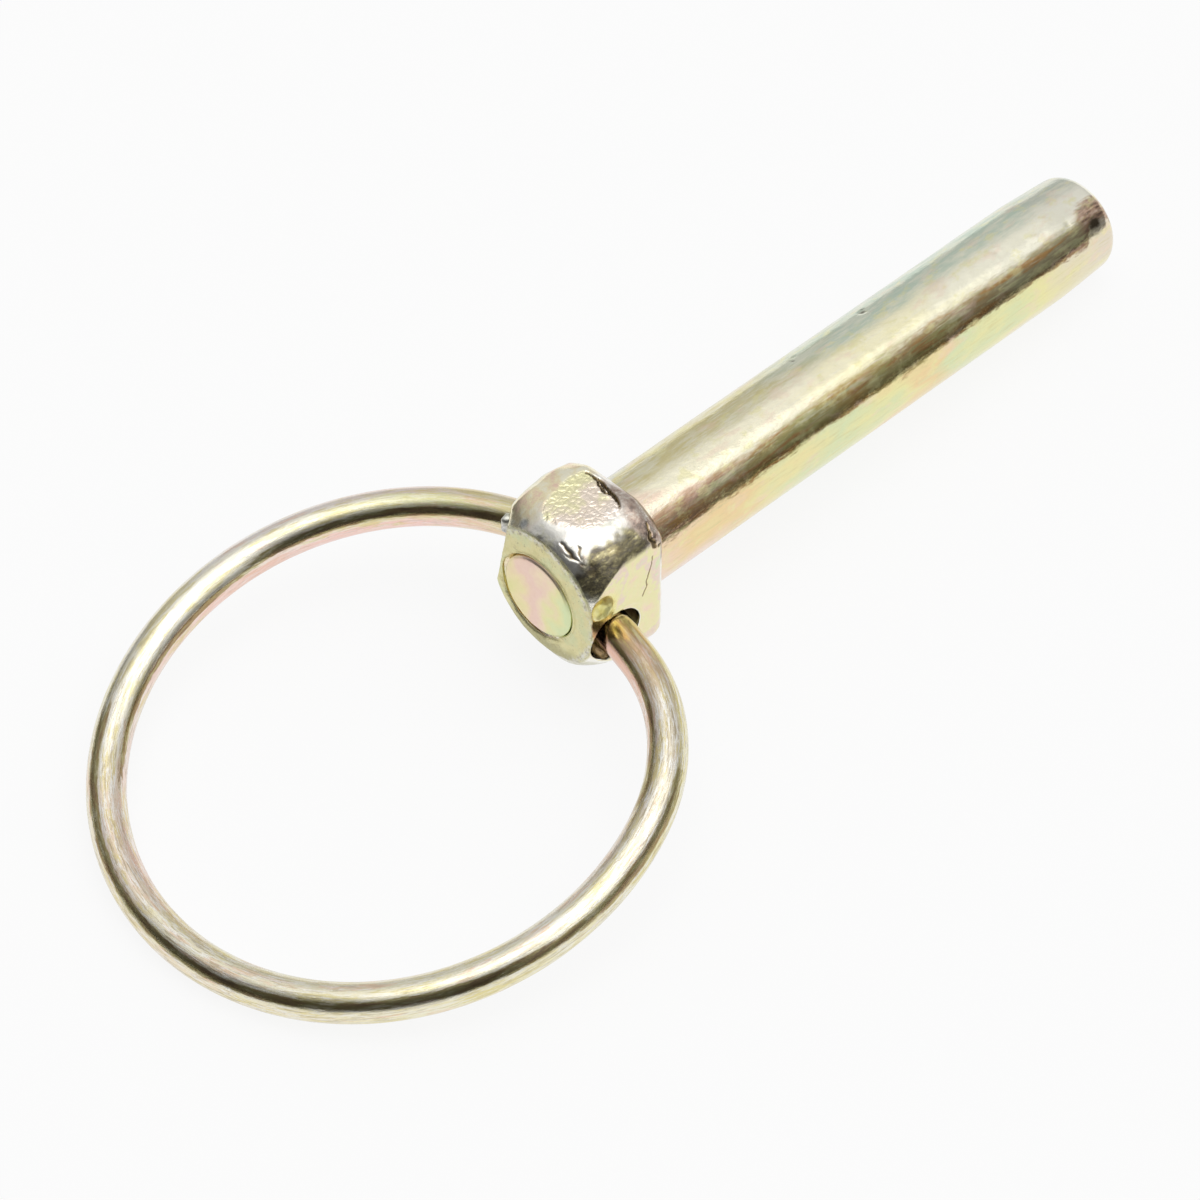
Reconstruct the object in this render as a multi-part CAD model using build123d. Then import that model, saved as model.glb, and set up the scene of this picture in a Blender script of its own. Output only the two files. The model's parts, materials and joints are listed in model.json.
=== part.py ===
from build123d import *
from math import asin, atan2, cos, degrees, hypot, radians, sin, sqrt, tan
import os

# A linch pin in millimetres: a turned shank, a forged head crimped on its rear end, and a sprung
# wire ring whose two legs stand in holes in the head. The pin is modelled along +X with its origin
# on the axis at the head's rear face, and is then laid down as it rests on a table.

# Shank: a round bar with a tapered, rounded tip and a reduced spigot that carries the head
SHANK_D = 10.0
SHANK_L = 59.7  # from the head's rear face to the end of the tip
TIP_TAPER_L = 6.9
TIP_D = 9.3
TIP_ROUND = 1.5
SPIGOT_D = 8.0
SPIGOT_CHAMFER = 0.35
SPIGOT_PROUD = 0.2  # how far the spigot's end stands out of the head's front face

# Head: a short forged barrel with flats pressed on four sides
HEAD_L = 9.4
HEAD_D = 17.0
HEAD_SWELL = 1.8  # how much the barrel's radius grows behind the front face
HEAD_SWELL_L = 4.8  # length over which it grows
HEAD_SIDE_CUT = 2.0  # how far each flat is pressed in from the barrel's surface
HEAD_TOP_CUT = 0.5
HEAD_BOTTOM_CUT = 0.4
HEAD_CORNER_ROUND = 2.0
HEAD_REAR_ROUND = 1.7
HEAD_FRONT_ROUND = 0.2
BEVEL_IN = 0.2  # radial width of the front bevel, were its die on centre
BEVEL_SLOPE = 57.0  # degrees to the axis
BEVEL_SHIFT_Y = -0.9  # the die was off centre, so the bevel is wide low on the +Y side
BEVEL_SHIFT_Z = 0.8
CHEEK_IN = 1.65  # how far the flat bevel on the +Y side reaches in from the flat, at the front face
CHEEK_SLOPE = 28.0  # degrees to the axis
CHEEK_LEAN = 11.0  # degrees that the same bevel leans in towards the top
SHOULDER_REACH = 7.06  # from the axis, at the front face, to the bevel on the +Y side's top corner
SHOULDER_TURN = 33.5  # degrees that this bevel faces up from +Y
SHOULDER_SLOPE = 5.0  # degrees to the axis
CRIMP_GROOVE_W = 0.45
CRIMP_GROOVE_DEPTH = 0.5
PUNCH_D = 3.0
PUNCH_DEPTH = 0.6
PUNCH_FROM_FRONT = 1.4
PUNCH_ABOVE_HOLE = 4.1

# Ring: spring wire bent to a circle, with the two ends turned in to straight legs on one line
WIRE_D = 3.5
RING_D = 49.1  # centre line of the wire
RING_CENTRE_TO_HINGE = 21.52
RING_CENTRE_SHIFT = -4.1  # along the hinge line, from the pin's middle plane
LEG_BEND_NEAR = 17.5  # centre line radius of the wide bend, on the -Y side
LEG_BEND_FAR = 3.4  # centre line radius of the tight bend, on the +Y side
LEG_END_GAP = 0.7  # from the leg's end to the spigot
LEG_HOLE_NEAR_L = 5.55  # oversize, so that the legs can spring; on the -Y side
LEG_HOLE_FAR_L = 5.1  # on the +Y side, where the leg stands nearer the head's rear face
LEG_HOLE_H = 5.1
LEG_HOLE_BACK = 0.1  # the holes sit nearer the shank than the legs
LEG_HOLE_DROP = 0.4  # and lower, as the legs spring up against them

# Hinge line: through both legs, skewed so that one leg stands nearer the shank than the other
HINGE_FROM_REAR = 5.12
HINGE_BELOW_AXIS = 1.11
HINGE_SKEW = 13.0  # degrees from square to the shank, in the ring's plane
RING_REST = 14.9  # degrees that the open ring drops below the line of the shank

REAR_TO_FRONT = Vector(-1, 0, 0)
ACROSS = Vector(0, 1, 0)

hinge_mid = Vector(-HINGE_FROM_REAR, 0, -HINGE_BELOW_AXIS)
leg_holes_mid = hinge_mid + Vector(LEG_HOLE_BACK, 0, -LEG_HOLE_DROP)
side_flat = HEAD_D / 2 - HEAD_SIDE_CUT  # each side flat's distance from the axis


def about_y(direction, angle):
    """Turns a direction about +Y by an angle in degrees."""
    return direction.rotate(Axis.Y, angle)


def ring_directions():
    """The hinge line's direction, and the one from it to the ring's centre, in the pin's frame."""
    away = about_y(REAR_TO_FRONT, -RING_REST)
    skew = radians(HINGE_SKEW)
    hinge = ACROSS * cos(skew) - away * sin(skew)
    outward = away * cos(skew) + ACROSS * sin(skew)
    return hinge, outward


def shank():
    """Turned bar: tapered round tip, shoulder, and the spigot with its chamfered end."""
    front = -(HEAD_L + SPIGOT_PROUD)
    outline = [
        (front, 0),
        (front, SPIGOT_D / 2 - SPIGOT_CHAMFER),
        (front + SPIGOT_CHAMFER, SPIGOT_D / 2),
        (0, SPIGOT_D / 2),
        (0, SHANK_D / 2),
        (SHANK_L - TIP_TAPER_L, SHANK_D / 2),
        (SHANK_L, TIP_D / 2),
        (SHANK_L, 0),
    ]
    face = make_face(Polyline(*outline, close=True))
    tip_corner = face.vertices().sort_by_distance((SHANK_L, TIP_D / 2, 0))[0]
    return revolve(fillet(tip_corner, TIP_ROUND), Axis.X)


def head_prism():
    """The head's section, a circle with four rounded flats, run along its length."""
    flats = Rectangle(2 * side_flat, HEAD_D - HEAD_TOP_CUT - HEAD_BOTTOM_CUT)
    section = Circle(HEAD_D / 2) & Pos(0, (HEAD_BOTTOM_CUT - HEAD_TOP_CUT) / 2) * flats
    section = fillet(section.vertices(), HEAD_CORNER_ROUND)
    front = Plane(origin=(-HEAD_L, 0, 0), x_dir=(0, 1, 0), z_dir=(1, 0, 0))
    prism = extrude(front * section, HEAD_L)
    return fillet(prism.faces().sort_by(Axis.X)[-1].edges(), HEAD_REAR_ROUND)


def head_barrel():
    """Round body that swells from the front face to the head's full diameter."""
    full = (HEAD_SWELL_L - HEAD_L, HEAD_D / 2)
    front = (-HEAD_L, HEAD_D / 2 - HEAD_SWELL)
    outline = [
        Line((0, 0), (0, HEAD_D / 2)),
        Line((0, HEAD_D / 2), full),
        TangentArc(full, front, tangent=(-1, 0)),
        Line(front, (-HEAD_L, 0)),
        Line((-HEAD_L, 0), (0, 0)),
    ]
    face = make_face(outline)
    corner = face.vertices().sort_by_distance((*front, 0))[0]
    return revolve(fillet(corner, HEAD_FRONT_ROUND), Axis.X)


def front_bevel():
    """Cone that trims the barrel's front edge, off centre as the forging die was."""
    small = HEAD_D / 2 - HEAD_SWELL - BEVEL_IN
    large = small + HEAD_L * tan(radians(BEVEL_SLOPE))
    cone = Cone(small, large, HEAD_L, rotation=(0, 90, 0), align=(Align.CENTER, Align.CENTER, Align.MIN))
    return Pos(-HEAD_L, BEVEL_SHIFT_Y, BEVEL_SHIFT_Z) * cone


def cheek_bevel():
    """Block that takes the front edge off the +Y flat."""
    block = Box(2 * HEAD_D, HEAD_D, 2 * HEAD_D, align=(Align.CENTER, Align.MIN, Align.CENTER))
    return Pos(-HEAD_L, side_flat - CHEEK_IN, 0) * Rot(CHEEK_LEAN, 0, CHEEK_SLOPE) * block


def shoulder_bevel():
    """Block that takes off the corner between the +Y flat and the top, most at the front."""
    turn, slope = radians(SHOULDER_TURN), radians(SHOULDER_SLOPE)
    outward = Vector(-sin(slope), cos(slope) * cos(turn), cos(slope) * sin(turn))
    bevel = Plane(origin=Vector(-HEAD_L, 0, 0) + outward * SHOULDER_REACH, z_dir=outward)
    return bevel * Box(4 * HEAD_D, 4 * HEAD_D, HEAD_D, align=(Align.CENTER, Align.CENTER, Align.MIN))


def crimp_groove():
    """V-shaped crease round the spigot's end, left by the crimping tool."""
    inner = SPIGOT_D / 2
    rise = CRIMP_GROOVE_W / CRIMP_GROOVE_DEPTH
    outline = [
        (-HEAD_L - 1, inner - 1),
        (-HEAD_L - 1, inner + CRIMP_GROOVE_W + rise),
        (-HEAD_L + CRIMP_GROOVE_DEPTH, inner),
        (-HEAD_L + CRIMP_GROOVE_DEPTH, inner - 1),
    ]
    return revolve(make_face(Polyline(*outline, close=True)), Axis.X)


def leg_hole_mouth(side):
    """Centre of the leg hole on the flat of one side."""
    hinge, _ = ring_directions()
    return leg_holes_mid + hinge * (side * side_flat / hinge.Y)


def leg_hole(side):
    """Oval hole through the head's wall on one side, cut along the leg as far as the bore."""
    hinge, _ = ring_directions()
    length = LEG_HOLE_NEAR_L if side < 0 else LEG_HOLE_FAR_L
    plane = Plane(origin=leg_holes_mid, x_dir=hinge.cross(Vector(0, 0, 1)), z_dir=hinge * side)
    return extrude(plane * SlotOverall(length, LEG_HOLE_H), HEAD_D)


def punch_mark():
    """Round dent beside the leg hole on the -Y flat, where the head was punched."""
    mouth = leg_hole_mouth(-1)
    above_flat = ACROSS * (PUNCH_DEPTH - PUNCH_D / 2)
    centre = Vector(PUNCH_FROM_FRONT - HEAD_L, mouth.Y, mouth.Z + PUNCH_ABOVE_HOLE) + above_flat
    return Pos(centre) * Sphere(PUNCH_D / 2)


def head():
    """Forged head: barrel with flats, bore for the spigot, crimp groove, leg holes, punch mark."""
    body = head_prism() & head_barrel() & front_bevel()
    body -= cheek_bevel() + shoulder_bevel()
    body -= Cylinder(SPIGOT_D / 2, 3 * HEAD_L, rotation=(0, 90, 0))
    body -= crimp_groove()
    for side in (-1, 1):
        body -= leg_hole(side)
    return body - punch_mark()


def ring_path():
    """The wire's centre line in the ring's own plane: x away from the hinge line, y along it."""
    radius = RING_D / 2
    far = Vector(RING_CENTRE_TO_HINGE, RING_CENTRE_SHIFT)
    leg_tip = (SPIGOT_D / 2 + LEG_END_GAP) / cos(radians(HINGE_SKEW))
    top = far + Vector(radius, 0)
    ends = []
    for side, bend in ((-1, LEG_BEND_NEAR), (1, LEG_BEND_FAR)):
        along = side * sqrt((radius - bend) ** 2 - (RING_CENTRE_TO_HINGE - bend) ** 2)
        middle = Vector(bend, far.Y + along)
        from_centre = (middle - far).normalized()
        bend_start = Vector(0, middle.Y)
        bend_end = far + from_centre * radius
        chord_mid = ((bend_start - middle) + (bend_end - middle)).normalized()
        ends.append((Vector(0, side * leg_tip), bend_start, middle + chord_mid * bend, bend_end))
    near, other = ends
    return Wire([
        Line(near[0], near[1]),
        ThreePointArc(near[1], near[2], near[3]),
        ThreePointArc(near[3], top, other[3]),
        ThreePointArc(other[3], other[2], other[1]),
        Line(other[1], other[0]),
    ])


def ring():
    """Spring wire ring at its rest angle, in the pin's frame."""
    hinge, outward = ring_directions()
    path = ring_path()
    section = Plane(origin=path @ 0, z_dir=path % 0) * Circle(WIRE_D / 2)
    wire = sweep(section, path)
    plane = Plane(origin=hinge_mid, x_dir=outward, z_dir=outward.cross(hinge))
    return plane.location * wire


def rest_pitch():
    """Angle in degrees that lays the tip's rounded edge and the ring's far side on one table."""
    hinge, outward = ring_directions()
    away = about_y(REAR_TO_FRONT, -RING_REST)
    centre = hinge_mid + outward * RING_CENTRE_TO_HINGE + hinge * RING_CENTRE_SHIFT
    far_side = centre + away * (RING_D / 2)
    half_cone = atan2((SHANK_D - TIP_D) / 2, TIP_TAPER_L)
    round_r = TIP_D / 2 + TIP_ROUND * tan(half_cone) - TIP_ROUND / cos(half_cone)
    tip = Vector(SHANK_L - TIP_ROUND, 0, -round_r)
    run = tip - far_side
    slope = atan2(run.Z, run.X)
    return degrees(slope + asin((WIRE_D / 2 - TIP_ROUND) / hypot(run.X, run.Z)))


def lay_down(pieces):
    """Turns the pieces to their rest pose, with the origin under the middle of their box."""
    turned = {name: Rot(0, rest_pitch(), 0) * piece for name, piece in pieces.items()}
    box = Compound(list(turned.values())).bounding_box()
    base = Pos(-box.center().X, -box.center().Y, -box.min.Z)
    return {name: base * piece for name, piece in turned.items()}


os.makedirs("parts", exist_ok=True)
for node, piece in lay_down({"shank": shank(), "head": head(), "ring": ring()}).items():
    export_step(piece, f"parts/{node}.step")
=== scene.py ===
import bpy
import json
import math
import numpy as np
from mathutils import Matrix


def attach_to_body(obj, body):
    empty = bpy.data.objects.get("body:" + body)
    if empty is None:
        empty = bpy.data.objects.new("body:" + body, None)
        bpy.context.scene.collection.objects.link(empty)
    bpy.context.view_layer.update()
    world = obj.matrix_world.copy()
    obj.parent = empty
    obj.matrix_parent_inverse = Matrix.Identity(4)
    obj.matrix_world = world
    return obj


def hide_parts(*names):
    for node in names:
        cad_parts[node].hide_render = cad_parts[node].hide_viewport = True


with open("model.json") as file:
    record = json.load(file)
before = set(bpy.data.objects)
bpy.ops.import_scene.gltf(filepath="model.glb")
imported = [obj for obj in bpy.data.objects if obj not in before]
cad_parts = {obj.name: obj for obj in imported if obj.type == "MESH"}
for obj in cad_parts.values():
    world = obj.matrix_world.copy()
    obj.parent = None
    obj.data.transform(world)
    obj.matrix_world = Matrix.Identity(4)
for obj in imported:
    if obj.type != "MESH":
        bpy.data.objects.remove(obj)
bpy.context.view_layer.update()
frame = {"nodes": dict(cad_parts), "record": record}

# Sizes in millimetres, as the solids have them
SHANK_R, SHANK_L = 5.0, 59.7
TIP_TAPER_L, TIP_R, TIP_ROUND = 6.9, 4.65, 1.5
SPIGOT_R, SPIGOT_CHAMFER = 4.0, 0.35
HEAD_L, SPIGOT_PROUD = 9.4, 0.2
WIRE_R, RING_R = 1.75, 24.55
RING_CENTRE, RING_SHIFT = 21.52, -4.1
BEND_NEAR, BEND_FAR = 17.5, 3.4
LEG_GAP, HINGE_SKEW, RING_REST = 0.7, 13.0, 14.9

# Fineness of the meshes: points round the bar and the wire, steps along them (mm), the head's voxels (m)
SHANK_AROUND, SHANK_STEP = 168, 0.26
WIRE_AROUND, WIRE_STEP = 56, 0.35
HEAD_VOXEL, HEAD_VOXEL_QUICK = 0.000113, 0.00016
FILM_L = 143.0  # mm along the wire over which its film's colours are laid out

# The photograph's camera in the pin's frame: its place in mm, its directions and its lens
CAMERA_PLACE = (-217.4484, -220.7521, 311.9703)
CAMERA_RIGHT = (0.7146, -0.69953, -0.00153)
CAMERA_DOWN = (-0.50269, -0.512, -0.69653)
CAMERA_AHEAD = (0.48647, 0.49851, -0.71752)
CAMERA_LENS = 153.43

# The pin's own frame: x along the shank from the head's rear face, z up through the head's patch
mount = frame["record"]["mounts"][0]
PIN_X = np.array(mount["axis"])
PIN_Y = np.array([0.0, 1.0, 0.0])
PIN_Z = np.cross(PIN_X, PIN_Y)
PIN_AXES = np.stack([PIN_X, PIN_Y, PIN_Z])
PIN_ORIGIN = np.array(mount["pos_m"]) * 1000 - PIN_X * mount["dims"]["length_mm"] / 2
hinge = frame["record"]["behaviour"]["joints"][0]
HINGE_POS = np.array(hinge["pos_m"]) * 1000


def to_row(points):
    """From the pin's frame in mm to the shared frame in metres."""
    return (np.asarray(points) @ PIN_AXES + PIN_ORIGIN) / 1000


def to_pin(points):
    """From the shared frame in metres to the pin's frame in mm."""
    return (np.asarray(points) * 1000 - PIN_ORIGIN) @ PIN_AXES.T


def lattice(i, j, k, seed):
    """A fixed number from 0 to 1 for each point of a whole-number grid."""
    h = (i * 374761393 + j * 668265263 + k * 2147483647 + seed * 1274126177) & 0xFFFFFFFF
    h = ((h ^ (h >> 13)) * 1274126177) & 0xFFFFFFFF
    h = ((h ^ (h >> 16)) * 2246822519) & 0xFFFFFFFF
    return ((h ^ (h >> 15)) & 0xFFFFFF) / 0xFFFFFF


def noise(p, size, seed=0):
    """Smooth value noise between -1 and 1, its cells `size` mm wide."""
    q = np.asarray(p) / size + 1000.0
    base = np.floor(q).astype(np.int64)
    t = q - base
    t = t * t * t * (t * (t * 6 - 15) + 10)
    out = 0.0
    for a in (0, 1):
        for b in (0, 1):
            for c in (0, 1):
                w = np.where(a, t[:, 0], 1 - t[:, 0]) * np.where(b, t[:, 1], 1 - t[:, 1])
                w = w * np.where(c, t[:, 2], 1 - t[:, 2])
                out = out + w * lattice(base[:, 0] + a, base[:, 1] + b, base[:, 2] + c, seed)
    return out * 2 - 1


def fractal(p, size, seed=0):
    """Three octaves of the same noise."""
    return sum(noise(p, size / 2 ** o, seed + o) / 2 ** o for o in range(3))


def cells(p, size, seed=0):
    """Distance to the nearest cell edge, in cell widths: 0 on the net of edges."""
    q = np.asarray(p) / size + 1000.0
    base = np.floor(q).astype(np.int64)
    first = np.full(len(q), 9.0)
    second = np.full(len(q), 9.0)
    for a in (-1, 0, 1):
        for b in (-1, 0, 1):
            for c in (-1, 0, 1):
                i, j, k = base[:, 0] + a, base[:, 1] + b, base[:, 2] + c
                spot = np.stack([i + lattice(i, j, k, seed), j + lattice(i, j, k, seed + 7),
                                 k + lattice(i, j, k, seed + 13)], 1)
                d = np.linalg.norm(q - spot, axis=1)
                second = np.minimum(second, np.maximum(first, d))
                first = np.minimum(first, d)
    return second - first


def smooth(low, high, x):
    """Smooth step from 0 at low to 1 at high."""
    t = np.clip((x - low) / (high - low), 0, 1)
    return t * t * (3 - 2 * t)


def line_distance(p, line):
    """Distance from each point to a polyline, and how far along it, from 0 to 1."""
    line = np.asarray(line, float)
    best = np.full(len(p), 1e9)
    along = np.zeros(len(p))
    for n, (a, b) in enumerate(zip(line[:-1], line[1:])):
        t = np.clip(((p - a) @ (b - a)) / max((b - a) @ (b - a), 1e-12), 0, 1)
        d = np.linalg.norm(p - (a + t[:, None] * (b - a)), axis=1)
        along = np.where(d < best, (n + t) / (len(line) - 1), along)
        best = np.minimum(best, d)
    return best, along


def inside(p, outline):
    """Signed distance to a closed outline in x and y, positive inside."""
    outline = np.asarray(outline, float)
    closed = np.vstack([outline, outline[:1]])
    flat = np.c_[p[:, :2], np.zeros(len(p))]
    d = line_distance(flat, np.c_[closed, np.zeros(len(closed))])[0]
    hit = np.zeros(len(p), bool)
    for a, b in zip(closed[:-1], closed[1:]):
        crosses = (a[1] > p[:, 1]) != (b[1] > p[:, 1])
        rise = np.where(b[1] == a[1], 1e-9, b[1] - a[1])
        hit ^= crosses & (p[:, 0] < (b[0] - a[0]) * (p[:, 1] - a[1]) / rise + a[0])
    return np.where(hit, d, -d)


def attach(mesh, name, body, node):
    """Puts a mesh in the scene as a piece of one body, in place of one solid."""
    mesh.name = name
    mesh.polygons.foreach_set("use_smooth", [True] * len(mesh.polygons))
    mesh.update()
    obj = bpy.data.objects.new(name, mesh)
    bpy.context.scene.collection.objects.link(obj)
    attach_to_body(obj, body)
    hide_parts(node)
    return obj


def new_piece(name, points, faces, body, node):
    mesh = bpy.data.meshes.new(name)
    mesh.from_pydata([tuple(p) for p in points], [], [tuple(f) for f in faces])
    mesh.validate()
    return attach(mesh, name, body, node)


def point_vectors(mesh, name, values):
    """Stores three numbers a point, for the materials to read."""
    layer = mesh.attributes.new(name, "FLOAT_VECTOR", "POINT")
    layer.data.foreach_set("vector", np.asarray(values, np.float32).ravel())


def grid_faces(rows, around):
    """Faces of a closed tube of `rows` rings, with a cap on each end."""
    r = np.arange(rows - 1)[:, None] * around
    k = np.arange(around)[None, :]
    k2 = (k + 1) % around
    quads = np.stack([r + k, r + k2, r + around + k2, r + around + k], -1).reshape(-1, 4)
    faces = [list(q) for q in quads]
    faces.append(list(range(around))[::-1])
    faces.append([(rows - 1) * around + i for i in range(around)])
    return faces


def pits(p, spots):
    """Sum of small round dents: (centre, radius, depth)."""
    out = np.zeros(len(p))
    for centre, radius, depth in spots:
        d = np.linalg.norm(p - np.array(centre), axis=1) / radius
        out -= depth * np.exp(-(d ** 2) * 1.6)
    return out


def shank():
    """The turned bar from the spigot's end to the tip, with nicks and a peened skin."""
    front = -(HEAD_L + SPIGOT_PROUD)
    half_cone = math.atan2(SHANK_R - TIP_R, TIP_TAPER_L)
    taper_at = SHANK_L - TIP_TAPER_L
    round_r = TIP_R + TIP_ROUND * math.tan(half_cone) - TIP_ROUND / math.cos(half_cone)
    rows = [(front, 0.02)]
    rows += [(front, r) for r in np.linspace(0.3, SPIGOT_R - SPIGOT_CHAMFER - 0.05, 15)]
    bend = np.radians(np.linspace(10, 80, 6))
    rows += [(front + SPIGOT_CHAMFER * (1 - math.cos(a)),
              SPIGOT_R - SPIGOT_CHAMFER * (1 - math.sin(a))) for a in bend]
    rows += [(x, SPIGOT_R) for x in np.linspace(front + SPIGOT_CHAMFER, -0.02, 12)]
    rows += [(0.0, SPIGOT_R + 0.02), (0.0, SHANK_R - 0.05), (0.03, SHANK_R)]
    rows += [(x, SHANK_R) for x in np.arange(0.3, taper_at - 0.7, SHANK_STEP)]
    for t in np.linspace(-0.6, 0.6, 5):
        x = taper_at + t
        rows.append((x, SHANK_R - math.tan(half_cone) * max(0.0, t + 0.6) ** 2 / 2.4))
    x_round = SHANK_L - TIP_ROUND
    for x in np.arange(taper_at + 0.9, x_round + TIP_ROUND * math.sin(half_cone) - 0.1, SHANK_STEP):
        rows.append((x, SHANK_R - math.tan(half_cone) * (x - taper_at)))
    for a in np.linspace(math.pi / 2 - half_cone, 0, 16):
        rows.append((x_round + TIP_ROUND * math.cos(a), round_r + TIP_ROUND * math.sin(a)))
    rows += [(SHANK_L, r) for r in np.linspace(round_r - 0.3, 0.02, 10)]
    rows = np.array(rows)
    ang = np.arange(SHANK_AROUND) * 2 * math.pi / SHANK_AROUND
    x = np.repeat(rows[:, 0], SHANK_AROUND)
    r = np.repeat(rows[:, 1], SHANK_AROUND)
    a = np.tile(ang, len(rows))
    p = np.stack([x, r * np.cos(a), r * np.sin(a)], 1)
    skin = 0.007 * noise(p * (0.5, 1, 1), 3.0, 3) + 0.004 * fractal(p, 1.1, 5) - 0.008
    skin += pits(p, [((32.4, 1.94, 4.61), 0.45, 0.10), ((32.9, 1.6, 4.7), 0.35, 0.05),
                     ((23.4, 1.85, 4.64), 0.5, 0.07), ((23.9, 2.3, 4.4), 0.4, 0.06),
                     ((54.5, -2.7, 4.1), 0.32, 0.08), ((41.0, 3.3, 3.75), 0.4, 0.05),
                     ((46.5, -1.2, 4.85), 0.35, 0.03), ((12.0, 0.5, 4.97), 0.4, 0.03),
                     ((16.5, -4.4, -2.3), 0.4, 0.04)])
    plain = (x < 0.3) | (r < round_r)
    skin = np.where(plain, 0, skin)
    scale = 1 + skin / np.maximum(r, 1)
    p[:, 1] *= scale
    p[:, 2] *= scale
    p[:, 0] -= 0.004 * smooth(SHANK_L - 1, SHANK_L, x)
    # The spigot's end: a faint dome, slightly uneven
    end = x < front + 0.2
    p[:, 0] += np.where(end, 0.06 * (r / SPIGOT_R) ** 2 + 0.012 * noise(p, 1.6, 9), 0)
    obj = new_piece("shank_bar", to_row(p), grid_faces(len(rows), SHANK_AROUND), "pin", "shank")
    point_vectors(obj.data, "pin", p)
    near_tip = np.exp(-(((p - (57.2, -3.5, 3.0)) / (0.85, 0.6, 0.6)) ** 2).sum(1)) * (1 + 0.5 * noise(p, 0.5,
                                                                                                      12))
    nicks = -pits(p, [((32.4, 1.94, 4.61), 0.42, 1.0), ((32.75, 2.4, 4.38), 0.25, 0.8),
                      ((23.4, 1.85, 4.64), 0.36, 0.8)])
    marks = np.clip(smooth(0.25, 0.8, near_tip) + smooth(0.35, 0.9, nicks), 0, 1)
    point_vectors(obj.data, "marks", np.stack([marks, 0 * marks, 0 * marks], 1))
    return obj


def ring_frame():
    """Directions of the hinge line, outward in the ring's plane, and the plane's normal, in pin terms."""
    rest, skew = math.radians(RING_REST), math.radians(HINGE_SKEW)
    away = np.array([-math.cos(rest), 0, -math.sin(rest)])
    across = np.array([0.0, 1, 0])
    line = across * math.cos(skew) - away * math.sin(skew)
    outward = away * math.cos(skew) + across * math.sin(skew)
    return line, outward, np.cross(outward, line)


def ring_line():
    """The wire's centre line in the ring's plane: x outward, y along the hinge line."""
    tip = (SPIGOT_R + LEG_GAP) / math.cos(math.radians(HINGE_SKEW))
    centre = np.array([RING_CENTRE, RING_SHIFT])
    parts = []
    ends = {}
    for side, bend in ((-1, BEND_NEAR), (1, BEND_FAR)):
        along = side * math.sqrt((RING_R - bend) ** 2 - (RING_CENTRE - bend) ** 2)
        middle = np.array([bend, RING_SHIFT + along])
        out = (middle - centre) / np.linalg.norm(middle - centre)
        ends[side] = (middle, math.atan2(out[1], out[0]), bend)
    middle, out, bend = ends[-1]
    parts.append([(0, y) for y in np.arange(-tip, middle[1], -WIRE_STEP)])
    turn = (out - math.pi) % (2 * math.pi)
    turn = turn if turn < math.pi else turn - 2 * math.pi
    count = max(3, int(abs(turn) * bend / WIRE_STEP))
    parts.append([(middle[0] + bend * math.cos(math.pi + turn * k / count),
                   middle[1] + bend * math.sin(math.pi + turn * k / count)) for k in range(count)])
    far_out = ends[1][1]
    sweep = (far_out - out) % (2 * math.pi)
    count = int(sweep * RING_R / WIRE_STEP)
    parts.append([(centre[0] + RING_R * math.cos(out + sweep * k / count),
                   centre[1] + RING_R * math.sin(out + sweep * k / count)) for k in range(count)])
    middle, out, bend = ends[1]
    turn = (math.pi - out) % (2 * math.pi)
    turn = turn if turn < math.pi else turn - 2 * math.pi
    count = max(8, int(abs(turn) * bend / WIRE_STEP * 2))
    parts.append([(middle[0] + bend * math.cos(out + turn * k / count),
                   middle[1] + bend * math.sin(out + turn * k / count)) for k in range(count)])
    parts.append([(0, y) for y in np.arange(middle[1], tip, -WIRE_STEP)] + [(0, tip)])
    return np.array([q for part in parts for q in part], float)


# How far the plating's zones and the painted dark reflection stripes turn round the wire: mm along it, and
# degrees
ZONE_TURN = ([0, 6, 12, 20, 30, 40, 50, 60, 70, 80, 90, 100, 110, 120, 130, 136, 143],
             [-11, -9, 4, 19, 28, 31.5, 30, 24, 12, -3, -18, -29, -35, -37, -34, -31, -11])
# Painted dark reflection stripes along the wire: places (mm along it, side from -1 inner to 1 outer) and half
# width
DARK_REFLECTION_STRIPES = [([(2, -0.35), (8, -0.55), (14, -0.72), (22, -0.88)], 0.13),
           ([(18, 0.62), (26, 0.58), (34, 0.40), (41, 0.22), (48, 0.12), (57, 0.2), (66, 0.38), (76, 0.52),
             (88, 0.62), (95, 0.66)], 0.20),
           ([(88, -0.70), (97, -0.64), (108, -0.60), (114, -0.48)], 0.11),
           ([(114, -0.34), (121, -0.30), (132, -0.24), (143, -0.20)], 0.22)]


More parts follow.
